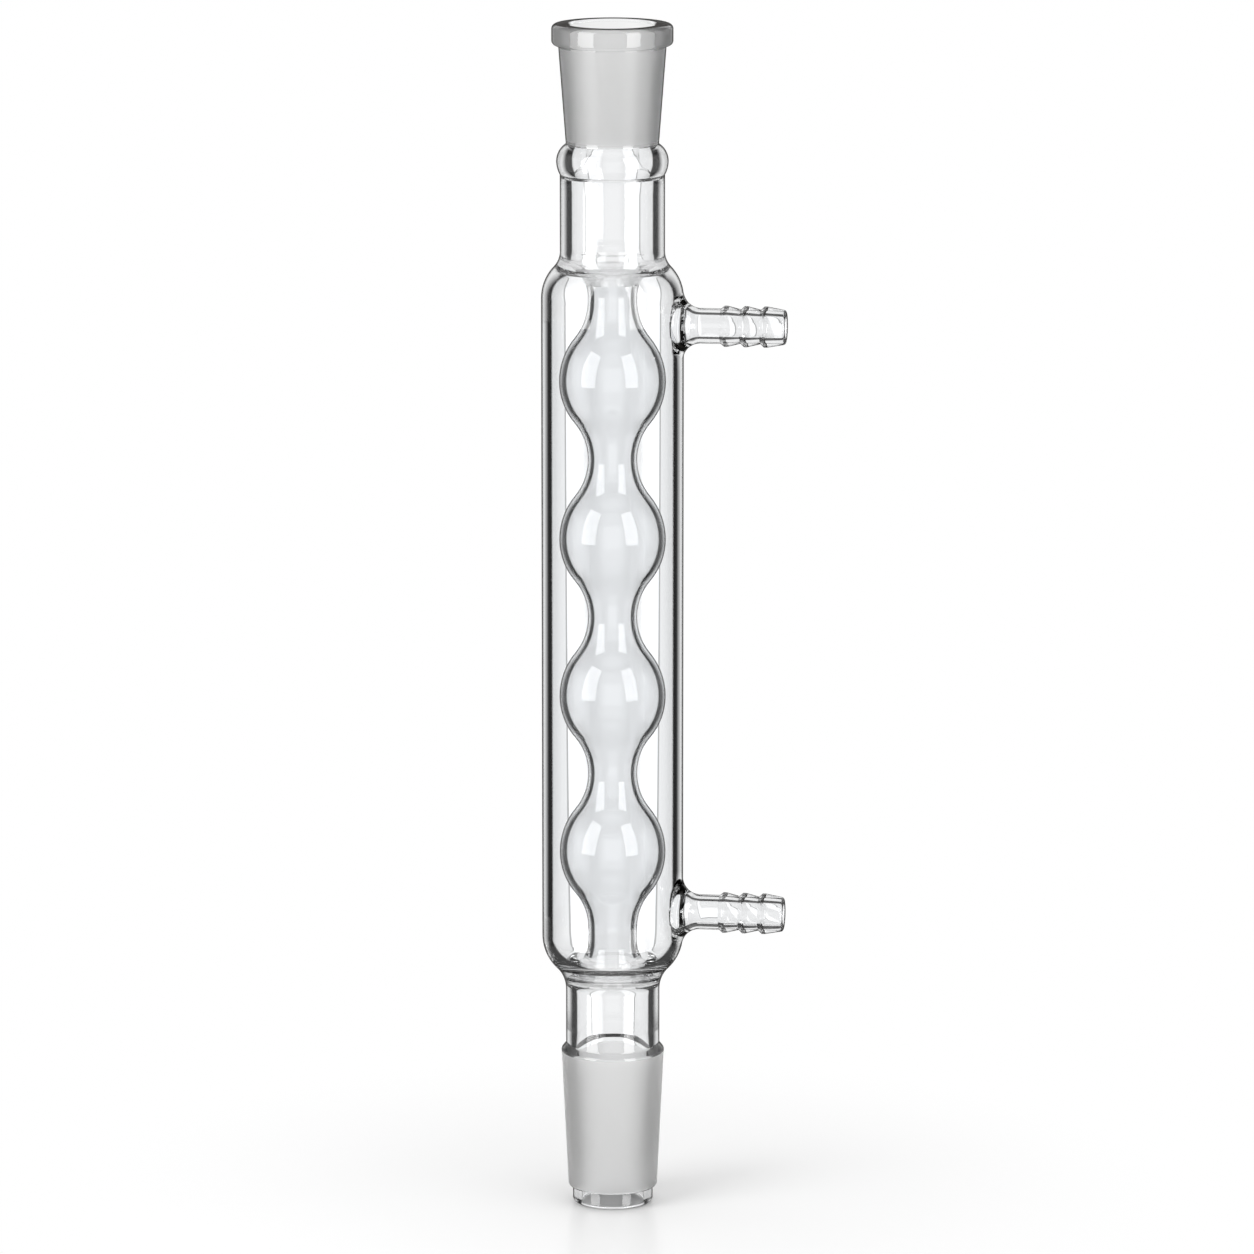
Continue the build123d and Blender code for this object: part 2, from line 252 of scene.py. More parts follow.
class RoomLook(bpy.types.PropertyGroup):
    """The painted room that the glass shows and mirrors. Turns are taken from the line of sight."""

    panel_half: degrees("Panel Half", 8.0, "Half width of the white panel behind the glass, seen from it")
    panel_glow: plain("Panel Glow", 1.17, "Light of that panel")
    panel_core: degrees("Panel Core", 3.4, "Half width of the panel's calmer middle")
    core_blur: degrees("Core Blur", 0.573, "Half width of the middle's soft edge")
    core_glow: plain("Core Glow", 0.92, "Light of that middle")
    panel_edge: degrees("Panel Edge", 0.7, "Width of the dark line round the panel")
    edge_loss: plain("Edge Loss", 0.45, "Light that the dark line takes away")
    beside_glow: plain("Beside Glow", 0.93, "Light beside the panel")
    deep: plain("Deep", 5.5, "Faces passed, beyond which the room shows evenly as the middle")
    mirror_glow: plain("Mirror Glow", 0.9, "Mirrored light straight ahead")
    mirror_bright: degrees("Mirror Bright", 16.0, "Turn up to which mirrored light is bright")
    mirror_grey: degrees("Mirror Grey", 35.0, "Turn at which mirrored light is grey")
    grey_loss: plain("Grey Loss", 0.75, "Light lost between those two turns")
    mirror_black: degrees("Mirror Black", 39.0, "Turn from which mirrored light is dark")
    black_loss: plain("Black Loss", 0.13, "Light lost between grey and dark")
    mirror_clear: degrees("Mirror Clear", 64.0, "Turn at which mirrored light starts to brighten again")
    clear_turn: degrees("Clear Turn", 17.19, "Further turn over which it brightens")
    clear_gain: plain("Clear Gain", 0.85, "Light gained over that turn")
    steep_from: share("Steep From", 0.38, "Steepness at which the mirrored room starts to darken")
    steep_to: share("Steep To", 0.5, "Steepness from which it is dark")
    steep_glow: plain("Steep Glow", 0.06, "Light left in the dark part")
    top_from: share("Top From", 0.8, "Steepness at which it starts to brighten overhead and underfoot")
    top_to: share("Top To", 0.9, "Steepness from which it is bright there")
    top_gain: plain("Top Gain", 0.8, "Light gained there")
    dark_from: millimetres("Dark From", 35, "Where the floor that glass walls mirror turns dark")
    dark_to: millimetres("Dark To", 180, "Where it starts to turn bright again")
    dark_blur: millimetres("Dark Blur", 60, "Width over which it turns bright")


class LampSettings(bpy.types.PropertyGroup):
    """The two tall glints and the two floor lamps. Their turns are taken from the camera."""

    distance: millimetres("Distance", 1500, "From each lamp to the glass")
    glint_elevation: degrees("Glint Elevation", 11.0, "Height angle of the glints")
    glint_height: millimetres("Glint Height", 2200, "Height of the glints")
    glint_glow: plain("Glint Glow", 7.0, "Light of the glints")
    left_turn: degrees("Left Turn", -52.0, "Turn of the left glint")
    left_width: millimetres("Left Width", 860, "Width of the left glint")
    right_turn: degrees("Right Turn", 41.0, "Turn of the right glint")
    right_width: millimetres("Right Width", 740, "Width of the right glint")
    bulb_faces: plain("Bulb Faces", 4.0, "Faces that a bulb's glint passes on its way in and out")
    key_turn: degrees("Key Turn", -50.0, "Turn of the key lamp")
    key_elevation: degrees("Key Elevation", 35.0, "Height angle of the key lamp")
    key_side: millimetres("Key Side", 800, "Side of the key lamp")
    key_glow: plain("Key Glow", 5.4, "Light of the key lamp")
    fill_turn: degrees("Fill Turn", 40.0, "Turn of the fill lamp")
    fill_elevation: degrees("Fill Elevation", 50.0, "Height angle of the fill lamp")
    fill_side: millimetres("Fill Side", 1400, "Side of the fill lamp")
    fill_glow: plain("Fill Glow", 1.0, "Light of the fill lamp")


class StageSettings(bpy.types.PropertyGroup):
    """The floor and the camera."""

    floor: tint("Floor", (0.9, 0.9, 0.9), "Colour of the floor")
    floor_roughness: share("Floor Roughness", 0.25, "Roughness of the floor")
    floor_gloss: share("Floor Gloss", 0.15, "Mirror gloss of the floor")
    floor_half: millimetres("Floor Half", 6000, "Half of the floor's side")
    floor_drop: millimetres("Floor Drop", 0.2, "Gap under the glass, so that faces don't coincide")
    fade_from: millimetres("Fade From", 60, "Where the floor begins to turn white")
    fade_to: millimetres("Fade To", 170, "Where the floor is white")
    ambient: share("Ambient", 0.74, "Light from all round on the floor")
    azimuth: degrees("Azimuth", 8.0, "Turn of the camera round the glass")
    elevation: degrees("Elevation", 11.0, "Height angle of the camera")
    distance: millimetres("Distance", 2106, "From the camera to the point that it looks at")
    look_height: millimetres("Look Height", 169.1, "Height on the glass axis near the picture's centre")
    look_right: millimetres("Look Right", 4.07, "Offset of the picture's centre to the right")
    look_up: millimetres("Look Up", -1.87, "Offset of the picture's centre upwards")
    focal: plain("Focal", 7460.0, "Focal length in pixels of the picture")


GROUPS = {
    "condenser_foot": FootSizes,
    "condenser_jacket": JacketSizes,
    "condenser_head": HeadSizes,
    "condenser_tube": TubeSizes,
    "condenser_arm": ArmSizes,
    "condenser_mesh": MeshSizes,
    "condenser_finish": GlassFinish,
    "condenser_room": RoomLook,
    "condenser_lamps": LampSettings,
    "condenser_stage": StageSettings,
}


class Wire:
    """An outline drawn from point to point in the XZ plane, ready to be spun."""

    def __init__(self, start, fineness):
        self.mesh = bmesh.new()
        self.fineness = fineness
        self.tip = bmesh.ops.create_vert(self.mesh, co=(start[0], 0, start[1]))["vert"][0]

    def here(self):
        """The wire's last point."""
        return Vector((self.tip.co.x, self.tip.co.z))

    def line(self, *points):
        """Straight on through the points."""
        for point in points:
            start, end = self.here(), Vector(point)
            steps = 1 + int((end - start).length / self.fineness.line_step)
            for index in range(steps):
                grown = bmesh.ops.extrude_vert_indiv(self.mesh, verts=[self.tip])
                self.tip = grown["verts"][0]
                reached = start.lerp(end, (index + 1) / steps)
                self.tip.co = (reached.x, 0, reached.y)

    def turn(self, centre, end):
        """Round the centre to the end point, the short way."""
        centre, end = Vector(centre), Vector(end)
        leave, arrive = self.here() - centre, end - centre
        angle = math.atan2(leave.cross(arrive), leave.dot(arrive))
        steps = max(LEAST_STEPS, math.ceil(abs(angle) / self.fineness.arc_step))
        spun = bmesh.ops.spin(
            self.mesh, geom=[self.tip], cent=(centre.x, 0, centre.y), axis=(0, 1, 0),
            dvec=(0, 0, 0), angle=-angle, steps=steps, use_merge=False,
        )
        self.tip = next(part for part in spun["geom_last"] if isinstance(part, bmesh.types.BMVert))
        self.tip.co = (end.x, 0, end.y)

    def arc(self, end, along, at_end=False):
        """An arc to the end point that runs along the direction at its start or at its end."""
        start, end = self.here(), Vector(end)
        side = Vector((-along[1], along[0]))
        fixed, other = (end, start) if at_end else (start, end)
        chord = other - fixed
        self.turn(fixed + side * (chord.length_squared / (2 * chord.dot(side))), end)

    def through(self, middle, end):
        """An arc through the middle point to the end point."""
        a, b, c = self.here(), Vector(middle), Vector(end)
        first, second = b - a, c - a
        both = 2 * first.cross(second)
        centre = a + Vector((
            (second.y * first.length_squared - first.y * second.length_squared) / both,
            (first.x * second.length_squared - second.x * first.length_squared) / both,
        ))
        self.turn(centre, b)
        self.turn(centre, c)

    def corner(self, corner, beyond, radius):
        """Straight towards the corner, and rounded off towards the point beyond it."""
        corner = Vector(corner)
        ahead = (corner - self.here()).normalized()
        after = (Vector(beyond) - corner).normalized()
        half = abs(math.atan2(ahead.cross(after), ahead.dot(after))) / 2
        back = radius * math.tan(half)
        self.line(corner - ahead * back)
        self.arc(corner + after * back, ahead)

    def closed(self):
        """The wire with its last point joined to its first."""
        bmesh.ops.remove_doubles(self.mesh, verts=self.mesh.verts, dist=TOUCHING)
        return self


def spun_solid(wire, axis, sides):
    """The closed surface that the wire sweeps round the axis."""
    mesh = wire.mesh
    bmesh.ops.spin(
        mesh, geom=mesh.verts[:] + mesh.edges[:], cent=(0, 0, 0), axis=axis,
        dvec=(0, 0, 0), angle=TURN, steps=sides, use_merge=True,
    )
    bmesh.ops.remove_doubles(mesh, verts=mesh.verts, dist=TOUCHING)
    bmesh.ops.dissolve_degenerate(mesh, dist=TOUCHING, edges=mesh.edges)
    bmesh.ops.recalc_face_normals(mesh, faces=mesh.faces)
    return mesh


UP = (0, 1)
DOWN = (0, -1)


class Layout:
    """Where the parts of the glass come, worked out from their sizes."""

    def __init__(self, scene):
        self.foot, self.jacket = scene.condenser_foot, scene.condenser_jacket
        self.head, self.tube = scene.condenser_head, scene.condenser_tube
        self.arm, self.fineness = scene.condenser_arm, scene.condenser_mesh
        foot, jacket, head, tube = self.foot, self.jacket, self.head, self.tube
        self.radius = jacket.outer / 2
        self.wall = self.radius - jacket.wall
        self.dome = self.radius - jacket.dome_centre
        self.inner_dome = self.wall - jacket.inner_dome_centre
        self.cone_top = foot.drip_height + foot.cone_length
        self.neck_start = self.cone_top + foot.cone_shoulder
        self.neck_end = self.neck_start + foot.neck_length
        rise, self.low_joint = self.shoulder(foot.neck / 2, foot.neck_hollow)
        self.start = self.neck_end + rise
        self.end = self.start + jacket.length
        rise, self.high_joint = self.shoulder(head.neck / 2, head.neck_hollow)
        self.upper_start = self.end + rise
        self.upper_end = self.upper_start + head.neck_length
        self.socket = self.upper_end + head.bead_height
        self.collar = self.socket + head.socket_length
        self.top = self.collar + head.collar_height
        self.low_waist = self.start + tube.lower_run
        self.high_waist = self.end - tube.upper_run
        self.pitch = (self.high_waist - self.low_waist) / tube.bulbs
        self.low_flare = self.start - tube.flare_start
        self.high_flare = self.end + tube.flare_start
        self.arm_heights = (self.start + self.arm.inset, self.end - self.arm.inset)

    def shoulder(self, neck, hollow):
        """Height of the curve from a neck to the jacket, and where its two arcs meet."""
        centre = self.radius - self.dome
        reach = neck + hollow - centre
        rise = math.sqrt((self.dome + hollow) ** 2 - reach**2)
        part = self.dome / (self.dome + hollow)
        return rise, (centre + reach * part, rise * part)

    def bulbs(self, inset):
        """Starts, centres and ends of the arcs that make the bulbed tube, from its lowest waist up."""
        crown = self.wall - self.tube.clearance
        waist = self.tube.outer / 2
        arc, half = self.tube.bulb_arc, self.pitch / 2
        centre = crown - arc
        gap = waist - centre
        hollow = (gap**2 + half**2 - arc**2) / (2 * (arc - gap))
        lean = math.atan2(half, waist + hollow - centre)
        out = centre + (arc - inset) * math.cos(lean)
        up = (arc - inset) * math.sin(lean)
        arcs, here = [], (waist - inset, self.low_waist)
        for index in range(self.tube.bulbs):
            low = self.low_waist + index * self.pitch
            middle, high = low + half, low + self.pitch
            leave = (out, middle + up)
            after = (out, high + half - up) if index < self.tube.bulbs - 1 else (waist - inset, high)
            if index == 0:
                arcs.append((here, (waist + hollow, low), (out, middle - up)))
            arcs.append(((out, middle - up), (centre, middle), leave))
            arcs.append((leave, (waist + hollow, high), after))
        return arcs

    def jacket_face(self, across, height):
        """Distance along X from the axis to the jacket's outer face."""
        past = max(0.0, self.start - height, height - self.end)
        radius = self.jacket.dome_centre + math.sqrt(self.dome**2 - past**2)
        return math.sqrt(radius**2 - across**2)


def outside(at):
    """The outline from the foot up the outer face to the mouth."""
    foot, head = at.foot, at.head
    rim, step = foot.drip_rim / 2, foot.drip_height
    small, large, neck = foot.cone_small / 2, foot.cone_large / 2, foot.neck / 2
    wire = Wire((foot.drip_bore / 2 + foot.foot_inner_round, 0), at.fineness)
    wire.corner((rim, 0), (rim, step), foot.foot_round)
    wire.line((rim, step))
    wire.corner((small, step), (large, at.cone_top), foot.cone_lower_round)
    wire.corner((large, at.cone_top), (neck, at.neck_start), foot.shoulder_round)
    wire.corner((neck, at.neck_start), (neck, at.neck_end), foot.shoulder_round)
    wire.line((neck, at.neck_end))
    wire.arc((at.low_joint[0], at.start - at.low_joint[1]), UP)
    wire.arc((at.radius, at.start), UP, at_end=True)
    wire.line((at.radius, at.end))
    wire.arc((at.high_joint[0], at.end + at.high_joint[1]), UP)
    wire.arc((head.neck / 2, at.upper_start), UP, at_end=True)
    wire.line((head.neck / 2, at.upper_end))
    wire.arc((head.bead / 2, at.socket - head.bead_crown), UP, at_end=True)
    wire.arc((head.socket_small / 2, at.socket), UP)
    collar = head.collar / 2
    wire.line((head.socket_large / 2, at.collar))
    wire.corner((collar, at.collar), (collar, at.top), head.collar_round)
    wire.corner((collar, at.top), (0, at.top), head.collar_round)
    wire.line((head.socket_bore / 2 + head.bevel, at.top))
    return wire


def vapour_way(wire, at):
    """The outline on from the mouth, down the inner face and back to the foot."""
    foot, head, tube = at.foot, at.head, at.tube
    inner = tube.outer / 2 - tube.wall
    mouth, neck = head.socket_bore / 2, head.neck_bore / 2
    bore_foot = mouth - (at.top - head.bevel - at.socket) * head.taper / 2
    lip_foot = at.upper_end - head.bead_lip_height / 2
    wire.line((mouth, at.top - head.bevel), (bore_foot, at.socket))
    wire.through(
        (head.bead_inner / 2, at.socket - head.bead_crown),
        (head.bead_lip / 2, lip_foot + head.bead_lip_height),
    )
    turn = math.pi / 2 - tube.floor_slope
    floor = (inner + tube.upper_arc * (1 - math.cos(turn)), at.high_flare + tube.upper_arc * math.sin(turn))
    pocket = tube.upper_pocket / 2
    pocket_foot = floor[1] + (pocket - floor[0]) * math.tan(tube.floor_slope)
    wire.line((neck, lip_foot), (neck, pocket_foot + tube.upper_pocket_height))
    wire.arc((pocket, pocket_foot), DOWN)
    wire.line(floor)
    wire.arc((inner, at.high_flare), DOWN, at_end=True)
    wire.line((inner, at.high_waist))
    for start, centre, _ in reversed(at.bulbs(tube.wall)):
        wire.turn(centre, start)
    pocket_top = at.start - tube.lower_pocket_drop
    low_neck = foot.neck_bore / 2
    wire.line((inner, at.low_flare))
    wire.arc((tube.lip / 2, at.start - tube.lip_drop), DOWN)
    wire.line((tube.lower_pocket / 2, pocket_top))
    wire.arc((low_neck, pocket_top - tube.lower_pocket_height), DOWN, at_end=True)
    drip = foot.drip_bore / 2
    wire.line(
        (low_neck, at.neck_start),
        (foot.cone_bore / 2, at.neck_start - tube.lower_pocket_height),
        (drip, foot.drip_height),
        (drip, foot.foot_inner_round),
    )
    wire.arc((drip + foot.foot_inner_round, 0), DOWN)
    return wire.closed()


def water_space(at):
    """The closed outline of the space between the jacket and the bulbed tube."""
    tube, jacket = at.tube, at.jacket
    outer = tube.outer / 2
    roof = at.end + at.inner_dome * math.sin(tube.roof_tilt)
    roof_edge = (jacket.inner_dome_centre + at.inner_dome * math.cos(tube.roof_tilt), roof)
    trumpet = (tube.trumpet / 2, roof)
    ledge = (tube.ledge, at.start - tube.ledge_drop)
    groove = (tube.groove, at.start - tube.groove_drop)
    wire = Wire((at.wall, at.end), at.fineness)
    wire.line((at.wall, at.start))
    wire.arc(ledge, DOWN)
    wire.corner(groove, (outer, at.low_flare), tube.groove_round)
    wire.arc((outer, at.low_flare), UP, at_end=True)
    wire.line((outer, at.low_waist))
    for _, centre, end in at.bulbs(0):
        wire.turn(centre, end)
    wire.line((outer, at.high_flare))
    wire.arc(trumpet, UP)
    wire.line(roof_edge)
    wire.arc((at.wall, at.end), DOWN, at_end=True)
    return wire.closed()


def arm_solid(at, height):
    """One hose arm, with a flared root that follows the jacket's face."""
    arm = at.arm
    tube, crest, tip = arm.outer / 2, arm.barb / 2, arm.barb_tip / 2
    base = at.radius - at.jacket.wall / 2
    foot = at.radius - arm.sink
    flare = tube + arm.root_round
    flare_end = foot + arm.root_round
    wire = Wire((base, 0), at.fineness)
    wire.line((base, flare), (foot, flare))
    wire.turn((flare_end, flare), (flare_end, tube))
    wire.line((arm.barb_start, tube))
    for index in range(arm.barbs):
        start = arm.barb_start + index * arm.barb_pitch + arm.barb_rise
        wire.line((start, crest), (start + arm.barb_land, crest))
        if index < arm.barbs - 1:
            wire.line((start - arm.barb_rise + arm.barb_pitch, tip))
    wire.corner((arm.reach, tip), (arm.reach, 0), arm.tip_round)
    wire.line((arm.reach, 0))
    mesh = spun_solid(wire, (1, 0, 0), at.fineness.arm_sides)
    for point in mesh.verts:
        fade = min(1.0, (arm.barb_start - point.co.x) / (arm.barb_start - flare_end))
        if fade > 0:
            face = at.jacket_face(point.co.y, height + point.co.z)
            point.co.x += fade * (face - at.radius)
    bmesh.ops.translate(mesh, verts=mesh.verts, vec=(0, 0, height))
    return mesh


def port_solid(at, height):
    """The bore of one hose arm with its funnel, to be cut out of the glass."""
    arm = at.arm
    bore, mouth = arm.bore / 2, arm.mouth / 2
    start = at.wall - at.jacket.wall
    rise = arm.blend * (1 - math.cos(arm.slope))
    cone = at.wall + (mouth - bore - rise) / math.tan(arm.slope)
    wire = Wire((start, 0), at.fineness)
    wire.line((start, mouth), (at.wall, mouth), (cone, bore + rise))
    wire.arc((cone + arm.blend * math.sin(arm.slope), bore), (1, 0), at_end=True)
    wire.line((arm.reach + arm.tip_round, bore), (arm.reach + arm.tip_round, 0))
    mesh = spun_solid(wire, (1, 0, 0), at.fineness.arm_sides)
    half_face = Matrix.Rotation(math.pi / at.fineness.arm_sides, 3, "X")
    bmesh.ops.rotate(mesh, verts=mesh.verts, cent=(0, 0, 0), matrix=half_face)
    bmesh.ops.translate(mesh, verts=mesh.verts, vec=(0, 0, height))
    return mesh


def as_object(mesh, name):
    """A new object that holds the mesh."""
    data = bpy.data.meshes.new(name)
    mesh.to_mesh(data)
    mesh.free()
    piece = bpy.data.objects.new(name, data)
    bpy.context.scene.collection.objects.link(piece)
    return piece


def combined(piece, steps):
    """The piece's mesh after joining or cutting the other solids in turn."""
    tools = []
    for operation, mesh in steps:
        tool = as_object(mesh, "cutter")
        change = piece.modifiers.new("cut", "BOOLEAN")
        change.operation, change.object, change.solver = operation, tool, "EXACT"
        tools.append(tool)
    graph = bpy.context.evaluated_depsgraph_get()
    data = bpy.data.meshes.new_from_object(piece.evaluated_get(graph))
    piece.modifiers.clear()
    for tool in tools:
        bpy.data.meshes.remove(tool.data)
    return data


def smooth_shaded(data, crease):
    """Smooths the mesh but for edges that turn by more than the crease, and counts its open edges."""
    mesh = bmesh.new()
    mesh.from_mesh(data)
    bmesh.ops.remove_doubles(mesh, verts=mesh.verts, dist=WELD)
    bmesh.ops.dissolve_degenerate(mesh, dist=WELD, edges=mesh.edges)
    wide = [face for face in mesh.faces if len(face.verts) > 4]
    bmesh.ops.triangulate(mesh, faces=wide)
    for face in mesh.faces:
        face.smooth = True
    for edge in mesh.edges:
        edge.smooth = len(edge.link_faces) == 2 and edge.calc_face_angle(0) < crease
    open_edges = sum(1 for edge in mesh.edges if len(edge.link_faces) != 2)
    mesh.to_mesh(data)
    mesh.free()
    return open_edges


class Socket:
    """A shader value. Arithmetic on it adds Math nodes."""

    def __init__(self, nodes, socket):
        self.nodes, self.socket = nodes, socket

    def maths(self, operation, *values):
        """The result of a Math node on this value and others."""
        return self.nodes.add("ShaderNodeMath", {"operation": operation}, [self, *values])[0]

    def __add__(self, other):
        return self.maths("ADD", other)

    def __sub__(self, other):
        return self.maths("SUBTRACT", other)

    def __mul__(self, other):
        return self.maths("MULTIPLY", other)

    def __truediv__(self, other):
        return self.maths("DIVIDE", other)

    def __pow__(self, other):
        return self.maths("POWER", other)

    def __gt__(self, other):
        return self.maths("GREATER_THAN", other)

    __radd__, __rmul__ = __add__, __mul__

    def __rsub__(self, other):
        return self * -1 + other


class Nodes:
    """A node tree that is built from expressions."""

    def __init__(self, owner):
        owner.use_nodes = True
        self.tree = owner.node_tree
        self.tree.nodes.clear()

    def add(self, kind, settings=(), inputs=()):
        """A node of the kind, with its settings, and with values or links on its inputs."""
        node = self.tree.nodes.new(kind)
        for name, setting in dict(settings).items():
            setattr(node, name, setting)
        named = inputs.items() if isinstance(inputs, dict) else enumerate(inputs)
        for key, given in named:
            if isinstance(given, Socket):
                self.tree.links.new(given.socket, node.inputs[key])
            else:
                node.inputs[key].default_value = given
        return [Socket(self, output) for output in node.outputs]

    def pick(self, kind, output):
        """One named output of a new node."""
        return next(made for made in self.add(kind) if made.socket.name == output)

    def split(self, vector):
        """The three parts of a vector."""
        return self.add("ShaderNodeSeparateXYZ", (), [vector])

    def slope(self, amount, low, high, course="LINEAR"):
        """Nought below the low value, one above the high value, and an even course between them."""
        inputs = {"Value": amount, "From Min": low, "From Max": high}
        return self.add("ShaderNodeMapRange", {"interpolation_type": course}, inputs)[0]

    def ramp(self, amount, low, high):
        """The same with a smooth course."""
        return self.slope(amount, low, high, "SMOOTHSTEP")

    def mixed(self, factor, first, second):
        """A Mix Shader."""
        return self.add("ShaderNodeMixShader", (), [factor, first, second])[0]

    def lamp(self, glow):
        """An Emission shader of white light."""
        return self.add("ShaderNodeEmission", (), [glow, 1.0])[0]


def from_axis(across, along):
    """Distance from the upright axis."""
    return (across * across + along * along) ** 0.5


def rgba(colour):
    """A property's colour with full alpha."""
    return (*colour, 1.0)


def grey(amount):
    """An even grey with full alpha."""
    return (amount, amount, amount, 1.0)


def glass_material(finish):
    """Clear glass that turns into ground glass on the cone's outside and in the socket's bore."""
    material = bpy.data.materials.new("blown glass")
    nodes = Nodes(material)
    across, along, up = nodes.split(nodes.pick("ShaderNodeTexCoord", "Object"))
    radius = from_axis(across, along)
    blur = finish.blur / 2

    def band(low, high):
        above = nodes.ramp(up, low - blur, low + blur)
        return above * (1 - nodes.ramp(up, high - blur, high + blur))

    cone = band(finish.cone_frost_foot, finish.cone_frost_top) * (radius > finish.cone_wall)
    bore = band(finish.socket_frost_foot, finish.socket_frost_top) * (1 - (radius > finish.socket_wall))
    satin = band(finish.satin_foot, finish.satin_top) * (radius > finish.socket_wall)
    even = band(finish.jacket_from, finish.jacket_to)
    even = even * (radius > finish.jacket_face) * (1 - (radius > finish.arm_clear))
    lower_seal = band(finish.lower_seal_from, finish.lower_seal_to)
    upper_seal = band(finish.upper_seal_from, finish.upper_seal_to)
    seals = (lower_seal + upper_seal) * (1 - (radius > finish.seal_reach))
    clear = nodes.add("ShaderNodeBsdfPrincipled", (), {
        "Base Color": rgba(finish.clear), "Roughness": satin * finish.satin, "IOR": finish.ior,
        "Transmission Weight": 1.0, "Alpha": 1 - seals * finish.seal_sheer,
    })[0]
    unglossed = nodes.add("ShaderNodeBsdfRefraction", (), {
        "Color": rgba(finish.clear), "Roughness": 0.0, "IOR": finish.ior,
    })[0]
    ground = nodes.add("ShaderNodeBsdfPrincipled", (), {
        "Base Color": rgba(finish.frosted), "Roughness": finish.frost_roughness, "IOR": finish.ior,
        "Transmission Weight": finish.frost_clearness,
    })[0]
    surface = nodes.mixed(even * (1 - finish.jacket_gloss), clear, unglossed)
    # Painted shade: where a face is seen at a slant, a dark diffuse shader is mixed in as the glass's dark
    # edge line.
    slant = nodes.pick("ShaderNodeLayerWeight", "Facing")
    edge = nodes.ramp(slant, finish.painted_edge_from, finish.painted_edge_to) * finish.painted_edge_depth * (1 - seals)
    dark = nodes.add("ShaderNodeBsdfDiffuse", (), {"Color": rgba(finish.painted_edge_shade)})[0]
    to_lamp = nodes.pick("ShaderNodeLightPath", "Is Shadow Ray")
    clear_shade = nodes.add("ShaderNodeBsdfTransparent", (), [grey(finish.shade)])[0]
    frost_shade = nodes.add("ShaderNodeBsdfTransparent", (), [grey(finish.frost_shade)])[0]
    surface = nodes.mixed(to_lamp, nodes.mixed(edge, surface, dark), clear_shade)
    surface = nodes.mixed(cone + bore, surface, nodes.mixed(to_lamp, ground, frost_shade))
    nodes.add("ShaderNodeOutputMaterial", (), {"Surface": surface})
    return material


def turned_away(nodes, across, along, azimuth):
    """Angle between a level direction and the line from the camera through the glass."""
    length = from_axis(across, along) + NO_WIDTH
    back = along * math.cos(azimuth) - across * math.sin(azimuth)
    return (back / length).maths("ABSOLUTE").maths("ARCCOSINE")


def mirrored_room(nodes, room, turned):
    """What walls of glass mirror: bright ahead and at the sides, dark between."""
    grey_part = nodes.slope(turned, room.mirror_bright, room.mirror_grey) * -room.grey_loss
    black_part = nodes.slope(turned, room.mirror_grey, room.mirror_black) * room.black_loss
    clear_end = room.mirror_clear + room.clear_turn
    clear_part = nodes.slope(turned, room.mirror_clear, clear_end) * room.clear_gain
    return grey_part + room.mirror_glow - black_part + clear_part


def seen_through(nodes, room, turned):
    """What shows through the glass: a white panel with a dark edge line, and evenly light past many faces."""
    side = (turned * -1 + math.pi / 2).maths("MINIMUM", turned)
    past = side > room.panel_half
    core = 1 - nodes.ramp(side, room.panel_core - room.core_blur, room.panel_core + room.core_blur)
    line = past * (1 - (side > room.panel_half + room.panel_edge))
    panel = core * (room.core_glow - room.panel_glow) + room.panel_glow
    glow = (1 - past) * panel + past * room.beside_glow - line * room.edge_loss
    deep = nodes.pick("ShaderNodeLightPath", "Transmission Depth") > room.deep
    return glow * (1 - deep) + deep * room.core_glow


def floor_material(stage, room):
    """A pale floor that keeps the soft shadow, white further off, and dark where glass walls mirror it."""
    material = bpy.data.materials.new("studio floor")
    nodes = Nodes(material)
    across, along, _ = nodes.split(nodes.pick("ShaderNodeTexCoord", "Object"))
    away = from_axis(across, along)
    turned = turned_away(nodes, across, along, stage.azimuth)
    lit = nodes.add("ShaderNodeBsdfPrincipled", (), {
        "Base Color": rgba(stage.floor), "Roughness": stage.floor_roughness,
        "Specular IOR Level": stage.floor_gloss,
    })[0]
    through = nodes.pick("ShaderNodeLightPath", "Is Transmission Ray")
    mirrored = nodes.pick("ShaderNodeLightPath", "Glossy Depth") > 0.5
    near = 1 - nodes.ramp(away, room.dark_to, room.dark_to + room.dark_blur)
    walls = mirrored_room(nodes, room, turned) * (1 - near) + near * room.steep_glow
    glow = seen_through(nodes, room, turned) * (1 - mirrored) + walls * mirrored
    far = nodes.lamp(glow * through + (1 - through))
    diffuse = nodes.pick("ShaderNodeLightPath", "Is Diffuse Ray")
    bare = (away > room.dark_from) * mirrored * through
    fade = nodes.ramp(away, stage.fade_from, stage.fade_to).maths("MAXIMUM", bare) * (1 - diffuse)
    nodes.add("ShaderNodeOutputMaterial", (), {"Surface": nodes.mixed(fade, lit, far)})
    return material


def lay_floor(stage, room):
    """The floor, a little under the glass."""
    mesh = bmesh.new()
    bmesh.ops.create_grid(mesh, x_segments=2, y_segments=2, size=stage.floor_half)
    bmesh.ops.translate(mesh, verts=mesh.verts, vec=(0, 0, -stage.floor_drop))
    floor = as_object(mesh, "studio_floor")
    floor.data.materials.append(floor_material(stage, room))
    floor.visible_glossy = False


